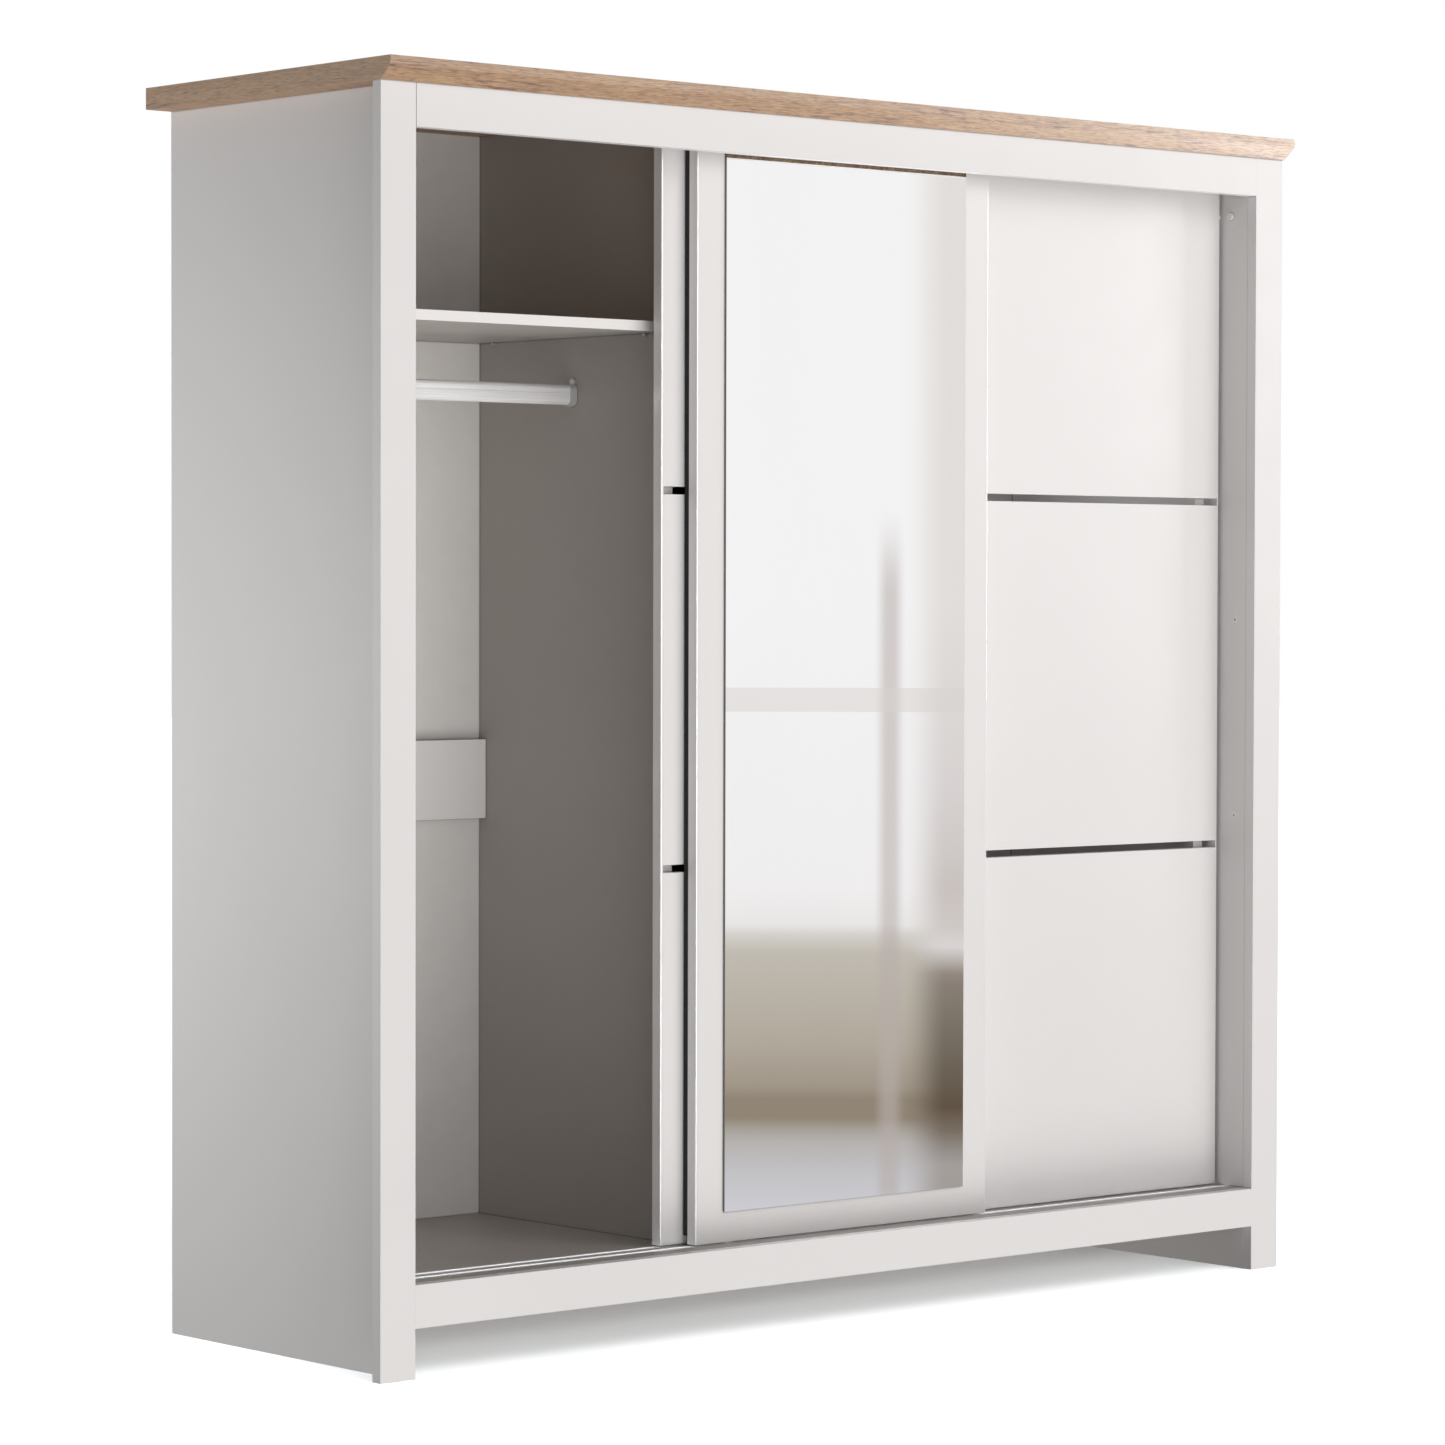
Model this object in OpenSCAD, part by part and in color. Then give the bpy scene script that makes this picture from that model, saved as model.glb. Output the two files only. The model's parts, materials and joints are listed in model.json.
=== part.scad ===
// Sliding door wardrobe: panel carcass on a face frame, wood-effect top panel,
// two slotted side doors on the rear lane and a mirror door on the front lane.
// Millimetres, +Z up, front towards -Y, origin under the middle of the cabinet.

/* [Carcass] */
// Width across the two front posts
body_w = 1796; // [1640:1:1960]
// Height from the floor to the underside of the top panel
body_h = 1771; // [1700:1:1900]
// Depth from the front of the posts to the back edges
body_d = 558; // [480:1:640]
// Thickness of posts, rails, side panels and floor
board_t = 18; // [16:0.5:22]
// Width of each front post
post_w = 60; // [50:1:80]
// Height of the header rail and of the plinth rail
rail_h = 60; // [40:1:80]
// Free height under the plinth rail
leg_gap = 69.5; // [40:0.5:100]
// Height of the floor panel's upper face
floor_z = 130; // [128:0.5:140]
// Thickness of the back panels
back_t = 3; // [2.5:0.5:4]
// Distance from the back edges to the back panels' front faces
back_inset = 8; // [6:0.5:14]
// Height of the rear rail under the floor panel
rear_rail_h = 42; // [30:1:42]

/* [Top panel] */
// Thickness of the top panel
top_t = 31; // [26:1:40]
// Overhang in front of the posts
top_front = 25; // [18:1:32]
// Overhang past the posts at each end
top_end = 2; // [0:0.5:6]
// Height of the upright front edge over the bevel
top_nose = 12; // [6:1:18]
// Distance from the posts to the foot of the bevel
top_foot = 2.5; // [0:0.5:6]

/* [Interior] */
// Thickness of dividers and shelves
shelf_t = 15; // [12:0.5:18]
// Clear width of the middle bay
middle_bay_w = 561.5; // [480:0.5:640]
// Distance from the post fronts to shelf and divider fronts
interior_front = 115; // [114:1:160]
// Height of the underside of the top shelves
top_shelf_z = 1457; // [1420:1:1520]
// Underside heights of the middle bay shelves
middle_shelf_z = [525, 935, 1345];
// Underside height of the horizontal back rails
back_rail_z = 735; // [600:1:740]
// Height of the horizontal back rails
back_rail_h = 120; // [80:1:140]
// Thickness of the horizontal back rails
back_rail_t = 16; // [12:0.5:18]

/* [Hanging rails] */
// Height of the oval rail section
oval_h = 30; // [28:0.5:34]
// Width of the oval rail section
oval_w = 15; // [14:0.5:17]
// Wall of the oval rail
oval_wall = 1.5; // [1.2:0.1:2]
// Height of the rail axis
oval_z = 1371.7; // [1300:0.1:1380]
// Distance from the post fronts to the rail axis
oval_y = 326; // [280:1:360]

/* [Doors] */
// Thickness of the door panels
door_t = 18; // [16:0.5:18]
// Distance from the post fronts to the mirror door's face
front_lane = 45.5; // [44:0.5:46]
// Distance from the post fronts to the side doors' faces
rear_lane = 74; // [74:0.5:75]
// Running gap between the floor panel and the doors
door_gap = 2.3; // [2:0.1:3]
// Height of the upper edge of the doors
door_top_z = 1748; // [1740:1:1749]
// Width of the left and right doors
side_door_w = 580; // [560:1:580]
// Width of the mirror door
mirror_door_w = 585; // [570:1:590]
// Left edge of the open left door
left_door_x = -336.6; // [-700:0.1:-336]
// Left edge of the mirror door
mirror_door_x = -293.5; // [-300:0.1:-290]
// Left edge of the closed right door
right_door_x = 253.4; // [250:0.1:253.4]
// Height of the lower door panels
lower_panel_h = 540.4; // [500:0.1:580]
// Height of the middle door panels
middle_panel_h = 536.2; // [500:0.1:580]
// Height of the slots between door panels
slot_h = 11.4; // [8:0.1:16]
// Width of the edge strips on the doors' upright edges
strip_w = 4; // [3.5:0.5:6]
// Radius on the front corner of the edge strips
strip_r = 2.5; // [1:0.5:3]
// Distance from the side doors' upright edges to the battens behind them
batten_inset = 16; // [16:0.5:20]
// Width of the battens
batten_w = 20; // [16:1:30]
// Thickness of the battens
batten_t = 18; // [12:0.5:18]
// Width of the brush seals behind the mirror door
seal_w = 5; // [3:0.5:8]
// Free gap between the brush seals and the side doors' faces
seal_gap = 1; // [0.5:0.1:2]

/* [Mirror] */
// Width of the mirror glass
glass_w = 480.5; // [400:0.5:540]
// Thickness of the mirror glass
glass_t = 4; // [3:0.5:6]
// Margin between the glass and the lower edge of its door
glass_margin_z = 44.5; // [30:0.5:80]
// Margin between the glass and the upper edge of its door
glass_margin_top = 20; // [10:1:30]

/* [Running gear] */
// Radius of the door wheels
wheel_r = 11; // [9:0.5:13]
// Width of the door wheels
wheel_w = 5; // [4:0.5:6]
// Radius of the stub axles
axle_r = 1.5; // [1.5:0.1:2]
// Radial clearance of the stub axles in their housings
axle_clear = 0.05; // [0.02:0.01:0.08]
// Width of the two bottom track strips
track_w = 18; // [16:0.5:20]
// Thickness of the bottom track strips
track_t = 5; // [4.5:0.5:6]
// Width of the wheel groove
groove_w = 7; // [6.8:0.1:8]
// Depth of the wheel groove
groove_d = 3; // [2:0.5:3.5]
// Height of the top guide track
guide_track_h = 16; // [14:0.5:18]
// Projection of the door stops from the side panels
stop_h = 4; // [3:0.1:4]

/* [Hidden] */
$fn = 48;
slip = 0.1;
run_gap = 0.3;

depth = body_d + top_front;
y_post = -depth / 2 + top_front;
y_back = y_post + body_d;
y_back_panel = y_back - back_inset;
y_inside = y_back_panel - 0.2;
y_shelf = y_post + interior_front;
x_post = body_w / 2;
x_inner = x_post - post_w;
x_divider = middle_bay_w / 2;
shelf_d = y_inside - y_shelf;
side_bay_w = x_inner - x_divider - shelf_t;
panel_seam_z = back_rail_z + back_rail_h / 2;

door_z = floor_z + door_gap;
slot_1_z = door_z + lower_panel_h;
middle_z = slot_1_z + slot_h;
slot_2_z = middle_z + middle_panel_h;
upper_z = slot_2_z + slot_h;
upper_panel_h = door_top_z - upper_z;
door_h = door_top_z - door_z;
y_front_lane = y_post + front_lane;
y_rear_lane = y_post + rear_lane;

groove_z = floor_z - groove_d;
wheel_z = groove_z + run_gap + wheel_r;
housing_l = 40;
housing_w = 10;
housing_h = 26;
housing_slot = wheel_w + 1;
stub_l = housing_w / 2 - run_gap;
wheel_inset = 70;

guide_base = [40, 14, 4];
guide_tongue = [30, 7, 14];
guide_slot = guide_tongue[1] + 2;
guide_wall = 2;
guide_inset = 60;
screw_r = 1.75;
screw_head_r = 3.5;
screw_head_h = 2.4;
batten_screw_l = 28;
batten_x = batten_inset + batten_w / 2;
joint_v = 1.2;
joint_gap = 0.8;
joint_gap_depth = 4;

pin_r = 2.5;
pin_in = 6.4;
pin_out = 8;
pin_inset = 40;
back_groove = 6;

cam_r = 5.85;
cam_l = 13;
cam_y = y_post + 42;
cam_zs = [725.3, 1038];
stop_z = 1681.7;
socket_r = 2.2;
socket_d = 3;

bracket_y = 19;
bracket_plate = 3;
bracket_collar = 9;
lug_r = 6;
lug_z = 19.5;
rib_d = 0.5;
rib_w = 1;
track_screw_xs = [-800, -480, -160, 160, 480, 800];

white = [0.92, 0.91, 0.90];
oak = [0.74, 0.63, 0.50];
board_back = [0.80, 0.79, 0.77];
metal = [0.78, 0.79, 0.80];
plastic = [0.90, 0.90, 0.88];
pile = [0.12, 0.12, 0.12];
mirror_tint = [0.80, 0.84, 0.86];

// A box from one corner to the opposite corner
module box(a, b) {
    translate(a)
        cube(b - a);
}

// A child profile drawn in Y and Z, swept along X
module sweep_x(length) {
    rotate([90, 0, 90])
        linear_extrude(length, center = true)
            children();
}

// A child repeated on both sides of the cabinet's middle plane
module both_sides() {
    children();
    mirror([1, 0, 0])
        children();
}

// A countersunk screw pointing along +Z, head's outer face at the origin
module screw(length) {
    cylinder(h = screw_head_h, r = screw_head_r);
    cylinder(h = length, r = screw_r);
}

// The clearance hole of a countersunk screw
module screw_hole(length) {
    translate([0, 0, -1])
        cylinder(h = screw_head_h + slip + 1, r = screw_head_r + slip);
    cylinder(h = length + slip, r = screw_r + slip);
}

/* ---- carcass ---- */

module top_panel() {
    color(oak)
        sweep_x(body_w + 2 * top_end)
            polygon([
                [y_post - top_front, body_h + top_t],
                [y_back, body_h + top_t],
                [y_back, body_h],
                [y_post - top_foot, body_h],
                [y_post - top_front, body_h + top_t - top_nose]
            ]);
}

// The four pin holes of a shelf, seen from the shelf's own bay
module pin_places(shelf_z) {
    for (y = [y_shelf + pin_inset, y_inside - pin_inset])
        translate([0, y, shelf_z - pin_r - slip])
            rotate([0, 90, 0])
                children();
}

module pin_hole() {
    cylinder(h = 2 * (pin_in + slip), r = pin_r + slip, center = true);
}

// Upright cutter that eases a corner where two boards meet
module joint_groove(x, y) {
    translate([x, y, body_h / 2])
        rotate([0, 0, 45])
            cube([joint_v, joint_v, body_h + 2], center = true);
}

// The right side panel, with its back groove and fitting bores
module side_panel() {
    difference() {
        box([x_inner, y_post + board_t, 0], [x_inner + board_t, y_back, body_h]);
        joint_groove(x_inner, y_post + board_t);
        box([x_inner - 1, y_back_panel - slip, -1],
            [x_inner + back_groove, y_back_panel + back_t + slip, body_h + 1]);
        translate([x_inner, 0, 0])
            pin_places(top_shelf_z)
                pin_hole();
        for (z = cam_zs)
            translate([x_inner - 1, cam_y, z])
                rotate([0, 90, 0])
                    cylinder(h = cam_l + 1 + slip, r = cam_r + slip);
        for (lane = [y_front_lane, y_rear_lane])
            translate([x_inner - stop_h, lane + door_t / 2, stop_z])
                rotate([0, 90, 0])
                    cylinder(h = stop_h + 10 + slip, r = screw_r + slip);
        bracket_places(x_inner)
            cylinder(h = 2 * (10 + slip), r = screw_r + slip, center = true);
    }
}

module left_side_panel() {
    color(white)
        mirror([1, 0, 0])
            side_panel();
}

module right_side_panel() {
    color(white)
        side_panel();
}

module post() {
    box([x_inner, y_post, 0], [x_post, y_post + board_t, body_h]);
}

module left_post() {
    color(white)
        mirror([1, 0, 0])
            post();
}

module right_post() {
    color(white)
        post();
}

module header_rail() {
    color(white)
        difference() {
            box([-x_inner, y_post, body_h - rail_h], [x_inner, y_post + board_t, body_h]);
            // the left joint stands a hair open in front
            box([-x_inner - 1, y_post - 1, body_h - rail_h - 1],
                [-x_inner + joint_gap, y_post + joint_gap_depth, body_h + 1]);
        }
}

module plinth_rail() {
    color(white)
        box([-x_inner, y_post, leg_gap], [x_inner, y_post + board_t, leg_gap + rail_h]);
}

module rear_plinth_rail() {
    color(white)
        box([-x_inner, y_inside - board_t, floor_z - board_t - rear_rail_h],
            [x_inner, y_inside, floor_z - board_t]);
}

module floor_panel() {
    color(white)
        difference() {
            box([-x_inner, y_post + board_t, floor_z - board_t], [x_inner, y_inside, floor_z]);
            for (lane = [y_front_lane, y_rear_lane])
                track_recess(lane + door_t / 2);
            for (lane = [y_front_lane, y_rear_lane], x = track_screw_xs)
                translate([x, lane + door_t / 2, floor_z])
                    rotate([180, 0, 0])
                        cylinder(h = track_t + 10, r = screw_r + slip);
        }
}

module track_recess(y) {
    box([-x_inner - 1, y - track_w / 2 - slip, floor_z - track_t],
        [x_inner + 1, y + track_w / 2 + slip, floor_z + 1]);
}

// The right divider, with pin holes from both bays
module divider() {
    difference() {
        box([x_divider, y_shelf, floor_z], [x_divider + shelf_t, y_inside, body_h]);
        translate([x_divider + shelf_t, 0, 0])
            pin_places(top_shelf_z)
                pin_hole();
        for (z = middle_shelf_z)
            translate([x_divider, 0, 0])
                pin_places(z)
                    pin_hole();
        bracket_places(x_divider + shelf_t)
            cylinder(h = 2 * (10 + slip), r = screw_r + slip, center = true);
    }
}

module left_divider() {
    color(white)
        mirror([1, 0, 0])
            divider();
}

module right_divider() {
    color(white)
        divider();
}

module back_panel(z0, z1) {
    box([-x_inner - back_groove + 1, y_back_panel, z0],
        [x_inner + back_groove - 1, y_back_panel + back_t, z1]);
}

module upper_back_panel() {
    color(board_back)
        back_panel(panel_seam_z + slip, body_h);
}

module lower_back_panel() {
    color(board_back)
        back_panel(floor_z - board_t, panel_seam_z - slip);
}

module back_rail(x0, x1) {
    box([x0, y_inside - back_rail_t, back_rail_z], [x1, y_inside, back_rail_z + back_rail_h]);
}

module left_back_rail() {
    color(white)
        back_rail(-x_inner, -x_divider - shelf_t);
}

module middle_back_rail() {
    color(white)
        back_rail(-x_divider, x_divider);
}

module right_back_rail() {
    color(white)
        back_rail(x_divider + shelf_t, x_inner);
}

/* ---- shelves ---- */

module shelf(x0, x1, z) {
    color(white)
        box([x0 + run_gap, y_shelf, z], [x1 - run_gap, y_inside, z + shelf_t]);
}

module left_top_shelf() {
    shelf(-x_inner, -x_divider - shelf_t, top_shelf_z);
}

module right_top_shelf() {
    shelf(x_divider + shelf_t, x_inner, top_shelf_z);
}

module lower_middle_shelf() {
    shelf(-x_divider, x_divider, middle_shelf_z[0]);
}

module centre_middle_shelf() {
    shelf(-x_divider, x_divider, middle_shelf_z[1]);
}

module upper_middle_shelf() {
    shelf(-x_divider, x_divider, middle_shelf_z[2]);
}

// A shelf pin lying along +Z, shoulder plane at the origin
module pin() {
    translate([0, 0, -pin_out])
        cylinder(h = pin_in + pin_out, r = pin_r);
}

module shelf_pins() {
    color(metal)
        both_sides() {
            translate([x_inner, 0, 0])
                pin_places(top_shelf_z)
                    pin();
            translate([x_divider + shelf_t, 0, 0])
                pin_places(top_shelf_z)
                    rotate([180, 0, 0])
                        pin();
            for (z = middle_shelf_z)
                translate([x_divider, 0, 0])
                    pin_places(z)
                        pin();
        }
}

/* ---- hanging rails ---- */

// An upright oval made of a rectangle and two half rounds
module oval(w, h) {
    square([w, h - w], center = true);
    for (s = [-1, 1])
        translate([0, s * (h - w) / 2])
            circle(d = w);
}

module hanging_rail() {
    length = side_bay_w - 2 * (bracket_plate + slip);
    translate([x_divider + shelf_t + side_bay_w / 2, y_post + oval_y, oval_z])
        sweep_x(length)
            difference() {
                oval(oval_w, oval_h);
                oval(oval_w - 2 * oval_wall, oval_h - 2 * oval_wall);
                for (s = [-1, 1], z = [-2.5, 0, 2.5])
                    translate([s * oval_w / 2, z])
                        square([2 * rib_d, rib_w], center = true);
            }
}

module left_hanging_rail() {
    color(metal)
        mirror([1, 0, 0])
            hanging_rail();
}

module right_hanging_rail() {
    color(metal)
        hanging_rail();
}

// One rail bracket on a face that looks along +X, its plate starting at x = 0
module bracket() {
    difference() {
        rotate([90, 0, 90]) {
            linear_extrude(bracket_plate) {
                oval(bracket_y, oval_h + bracket_y - oval_w);
                translate([0, lug_z])
                    circle(r = lug_r);
            }
            linear_extrude(bracket_plate + bracket_collar)
                difference() {
                    oval(bracket_y, oval_h + bracket_y - oval_w);
                    oval(oval_w + 2 * slip, oval_h + 2 * slip);
                    translate([0, lug_z])
                        square([bracket_y, 12], center = true);
                }
        }
        for (z = [lug_z, -8])
            translate([bracket_plate, 0, z])
                rotate([0, -90, 0])
                    screw_hole(bracket_plate + 2);
    }
}

// Screw positions of a bracket standing on the face at x
module bracket_places(x) {
    for (z = [lug_z, -8])
        translate([x, y_post + oval_y, oval_z + z])
            rotate([0, 90, 0])
                children();
}

module rail_brackets() {
    color(plastic)
        both_sides() {
            translate([x_divider + shelf_t, y_post + oval_y, oval_z])
                bracket();
            translate([x_inner, y_post + oval_y, oval_z])
                mirror([1, 0, 0])
                    bracket();
        }
}

module bracket_screws() {
    color(metal)
        both_sides() {
            translate([-bracket_plate, 0, 0])
                bracket_places(x_inner)
                    screw(bracket_plate + 9);
            translate([bracket_plate, 0, 0])
                bracket_places(x_divider + shelf_t)
                    rotate([180, 0, 0])
                        screw(bracket_plate + 9);
        }
}

/* ---- tracks and fittings ---- */

module bottom_track(lane) {
    y = lane + door_t / 2;
    color(metal)
        difference() {
            box([-x_inner + run_gap, y - track_w / 2, floor_z - track_t],
                [x_inner - run_gap, y + track_w / 2, floor_z]);
            box([-x_inner, y - groove_w / 2, groove_z], [x_inner, y + groove_w / 2, floor_z + 1]);
            for (x = track_screw_xs)
                translate([x, y, floor_z - track_t - 1])
                    cylinder(h = track_t + 2, r = screw_r + slip);
        }
}

module front_bottom_track() {
    bottom_track(y_front_lane);
}

module rear_bottom_track() {
    bottom_track(y_rear_lane);
}

module track_screws() {
    color(metal)
        for (lane = [y_front_lane, y_rear_lane], x = track_screw_xs)
            translate([x, lane + door_t / 2, groove_z - track_t - 4])
                cylinder(h = track_t + 4, r = screw_r);
}

module top_guide_track() {
    y0 = y_front_lane + door_t / 2;
    y1 = y_rear_lane + door_t / 2;
    margin = guide_slot / 2 + guide_wall;
    color(metal)
        sweep_x(2 * (x_inner - run_gap))
            difference() {
                translate([y0 - margin, body_h - guide_track_h])
                    square([y1 - y0 + 2 * margin, guide_track_h]);
                for (y = [y0, y1])
                    translate([y - guide_slot / 2, body_h - guide_track_h - 1])
                        square([guide_slot, guide_track_h + 1 - guide_wall]);
            }
}

module cam_fittings() {
    color(plastic)
        both_sides()
            for (z = cam_zs)
                translate([x_inner, cam_y, z])
                    rotate([0, 90, 0])
                        difference() {
                            cylinder(h = cam_l, r = cam_r);
                            translate([0, 0, -1])
                                cylinder(h = socket_d + 1, r = socket_r);
                        }
}

module door_stops() {
    color(plastic)
        both_sides()
            for (lane = [y_front_lane, y_rear_lane])
                translate([x_inner - stop_h, lane + door_t / 2, stop_z])
                    rotate([0, 90, 0])
                        difference() {
                            union() {
                                cylinder(h = stop_h, r = cam_r);
                                cylinder(h = stop_h + 10, r = screw_r);
                            }
                            translate([0, 0, -1])
                                cylinder(h = 2.5, r = socket_r);
                        }
}

/* ---- doors ---- */

// Wheel places along a door whose left edge is at x
function wheel_xs(x, w) = [x + wheel_inset, x + w - wheel_inset];

// Guide places along a door whose left edge is at x
function guide_xs(x, w) = [x + guide_inset, x + w - guide_inset];

// Heights of the batten screws, two in each door panel
batten_screw_zs = [
    door_z + 60, slot_1_z - 60,
    middle_z + 60, slot_2_z - 60,
    upper_z + 60, door_top_z - 60
];

// Pockets under a door's lower edge for the two wheel housings
module wheel_pockets(x, w, lane) {
    for (wx = wheel_xs(x, w))
        box([wx - housing_l / 2 - slip, lane + door_t / 2 - housing_w / 2 - slip, door_z - 1],
            [wx + housing_l / 2 + slip, lane + door_t / 2 + housing_w / 2 + slip,
             door_z + housing_h + slip]);
}

// One board between the two edge strips of a door
module door_board(x, w, lane, z0, z1) {
    box([x + strip_w, lane, z0], [x + w - strip_w, lane + door_t, z1]);
}

// Axes of the batten screws, pointing from the batten's back to the door's face
module batten_screw_places(x, w, zs) {
    for (bx = [x + batten_x, x + w - batten_x], z = zs)
        translate([bx, y_rear_lane + door_t + batten_t, z])
            rotate([90, 0, 0])
                children();
}

module side_lower_panel(x) {
    color(white)
        difference() {
            door_board(x, side_door_w, y_rear_lane, door_z, slot_1_z);
            wheel_pockets(x, side_door_w, y_rear_lane);
            batten_screw_places(x, side_door_w, batten_screw_zs)
                screw_hole(batten_screw_l);
        }
}

module side_middle_panel(x) {
    color(white)
        difference() {
            door_board(x, side_door_w, y_rear_lane, middle_z, slot_2_z);
            batten_screw_places(x, side_door_w, batten_screw_zs)
                screw_hole(batten_screw_l);
        }
}

module side_upper_panel(x) {
    color(white)
        difference() {
            door_board(x, side_door_w, y_rear_lane, upper_z, door_top_z);
            batten_screw_places(x, side_door_w, batten_screw_zs)
                screw_hole(batten_screw_l);
        }
}

// The section of a left edge strip, outer front corner rounded
module strip_section() {
    difference() {
        square([strip_w, door_t]);
        difference() {
            square(strip_r);
            translate([strip_r, strip_r])
                circle(r = strip_r);
        }
    }
}

module edge_strips(x, w, lane) {
    color(white) {
        translate([x, lane, door_z])
            linear_extrude(door_h)
                strip_section();
        translate([x + w, lane, door_z])
            mirror([1, 0, 0])
                linear_extrude(door_h)
                    strip_section();
    }
}

module battens(x) {
    y = y_rear_lane + door_t;
    color(white)
        difference() {
            for (bx = [x + batten_x, x + side_door_w - batten_x])
                box([bx - batten_w / 2, y, door_z + 10],
                    [bx + batten_w / 2, y + batten_t, door_top_z - 10]);
            batten_screw_places(x, side_door_w, batten_screw_zs)
                screw_hole(batten_screw_l);
        }
}

module batten_screws(x) {
    color(metal)
        batten_screw_places(x, side_door_w, batten_screw_zs)
            screw(batten_screw_l);
}

// The fork that carries one wheel, let into the door's lower edge
module wheel_housing() {
    difference() {
        translate([-housing_l / 2, -housing_w / 2, door_z])
            cube([housing_l, housing_w, housing_h]);
        translate([0, 0, wheel_z])
            rotate([90, 0, 0])
                cylinder(h = housing_slot, r = wheel_r + 1, center = true);
        translate([-wheel_r - 1, -housing_slot / 2, door_z - 1])
            cube([2 * (wheel_r + 1), housing_slot, wheel_z - door_z + 1]);
        translate([0, 0, wheel_z])
            rotate([90, 0, 0])
                cylinder(h = housing_w + 2, r = axle_r + axle_clear, center = true);
    }
}

module wheel_housings(x, w, lane) {
    color(plastic)
        for (wx = wheel_xs(x, w))
            translate([wx, lane + door_t / 2, 0])
                wheel_housing();
}

// A wheel with stub axles, turning about the Y axis
module wheel(x, lane) {
    color(plastic)
        translate([x, lane + door_t / 2, wheel_z])
            rotate([90, 0, 0])
                rotate_extrude()
                    polygon([
                        [0, -stub_l], [axle_r, -stub_l],
                        [axle_r, -wheel_w / 2], [wheel_r - 1, -wheel_w / 2],
                        [wheel_r, -wheel_w / 2 + 1], [wheel_r, wheel_w / 2 - 1],
                        [wheel_r - 1, wheel_w / 2], [axle_r, wheel_w / 2],
                        [axle_r, stub_l], [0, stub_l]
                    ]);
}

module top_guides(x, w, lane) {
    color(plastic)
        for (gx = guide_xs(x, w))
            translate([gx, lane + door_t / 2, door_top_z]) {
                translate([-guide_base[0] / 2, -guide_base[1] / 2, 0])
                    cube(guide_base);
                translate([-guide_tongue[0] / 2, -guide_tongue[1] / 2, guide_base[2]])
                    cube(guide_tongue);
            }
}

module left_door_lower_panel() {
    side_lower_panel(left_door_x);
}

module left_door_middle_panel() {
    side_middle_panel(left_door_x);
}

module left_door_upper_panel() {
    side_upper_panel(left_door_x);
}

module left_door_edge_strips() {
    edge_strips(left_door_x, side_door_w, y_rear_lane);
}

module left_door_battens() {
    battens(left_door_x);
}

module left_door_batten_screws() {
    batten_screws(left_door_x);
}

module left_door_wheel_housings() {
    wheel_housings(left_door_x, side_door_w, y_rear_lane);
}

module left_door_top_guides() {
    top_guides(left_door_x, side_door_w, y_rear_lane);
}

module left_door_left_wheel() {
    wheel(wheel_xs(left_door_x, side_door_w)[0], y_rear_lane);
}

module left_door_right_wheel() {
    wheel(wheel_xs(left_door_x, side_door_w)[1], y_rear_lane);
}

module right_door_lower_panel() {
    side_lower_panel(right_door_x);
}

module right_door_middle_panel() {
    side_middle_panel(right_door_x);
}

module right_door_upper_panel() {
    side_upper_panel(right_door_x);
}

module right_door_edge_strips() {
    edge_strips(right_door_x, side_door_w, y_rear_lane);
}

module right_door_battens() {
    battens(right_door_x);
}

module right_door_batten_screws() {
    batten_screws(right_door_x);
}

module right_door_wheel_housings() {
    wheel_housings(right_door_x, side_door_w, y_rear_lane);
}

module right_door_top_guides() {
    top_guides(right_door_x, side_door_w, y_rear_lane);
}

module right_door_left_wheel() {
    wheel(wheel_xs(right_door_x, side_door_w)[0], y_rear_lane);
}

module right_door_right_wheel() {
    wheel(wheel_xs(right_door_x, side_door_w)[1], y_rear_lane);
}

module mirror_door_panel() {
    color(white)
        difference() {
            door_board(mirror_door_x, mirror_door_w, y_front_lane, door_z, door_top_z);
            wheel_pockets(mirror_door_x, mirror_door_w, y_front_lane);
        }
}

module mirror_door_edge_strips() {
    edge_strips(mirror_door_x, mirror_door_w, y_front_lane);
}

module mirror_glass() {
    x = mirror_door_x + (mirror_door_w - glass_w) / 2;
    color(mirror_tint)
        box([x, y_front_lane - glass_t, door_z + glass_margin_z],
            [x + glass_w, y_front_lane, door_top_z - glass_margin_top]);
}

module mirror_door_brush_seals() {
    color(pile)
        for (x = [mirror_door_x + 0.5, mirror_door_x + mirror_door_w - 0.5 - seal_w])
            box([x, y_front_lane + door_t, door_z + 12],
                [x + seal_w, y_rear_lane - seal_gap, door_top_z - 12]);
}

module mirror_door_wheel_housings() {
    wheel_housings(mirror_door_x, mirror_door_w, y_front_lane);
}

module mirror_door_top_guides() {
    top_guides(mirror_door_x, mirror_door_w, y_front_lane);
}

module mirror_door_left_wheel() {
    wheel(wheel_xs(mirror_door_x, mirror_door_w)[0], y_front_lane);
}

module mirror_door_right_wheel() {
    wheel(wheel_xs(mirror_door_x, mirror_door_w)[1], y_front_lane);
}

top_panel();
left_side_panel();
right_side_panel();
left_post();
right_post();
header_rail();
plinth_rail();
rear_plinth_rail();
floor_panel();
left_divider();
right_divider();
upper_back_panel();
lower_back_panel();
left_back_rail();
middle_back_rail();
right_back_rail();
left_top_shelf();
right_top_shelf();
lower_middle_shelf();
centre_middle_shelf();
upper_middle_shelf();
shelf_pins();
left_hanging_rail();
right_hanging_rail();
rail_brackets();
bracket_screws();
front_bottom_track();
rear_bottom_track();
top_guide_track();
track_screws();
cam_fittings();
door_stops();
left_door_lower_panel();
left_door_middle_panel();
left_door_upper_panel();
left_door_edge_strips();
left_door_battens();
left_door_batten_screws();
left_door_wheel_housings();
left_door_top_guides();
left_door_left_wheel();
left_door_right_wheel();
right_door_lower_panel();
right_door_middle_panel();
right_door_upper_panel();
right_door_edge_strips();
right_door_battens();
right_door_batten_screws();
right_door_wheel_housings();
right_door_top_guides();
right_door_left_wheel();
right_door_right_wheel();
mirror_door_panel();
mirror_door_edge_strips();
mirror_glass();
mirror_door_brush_seals();
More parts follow.
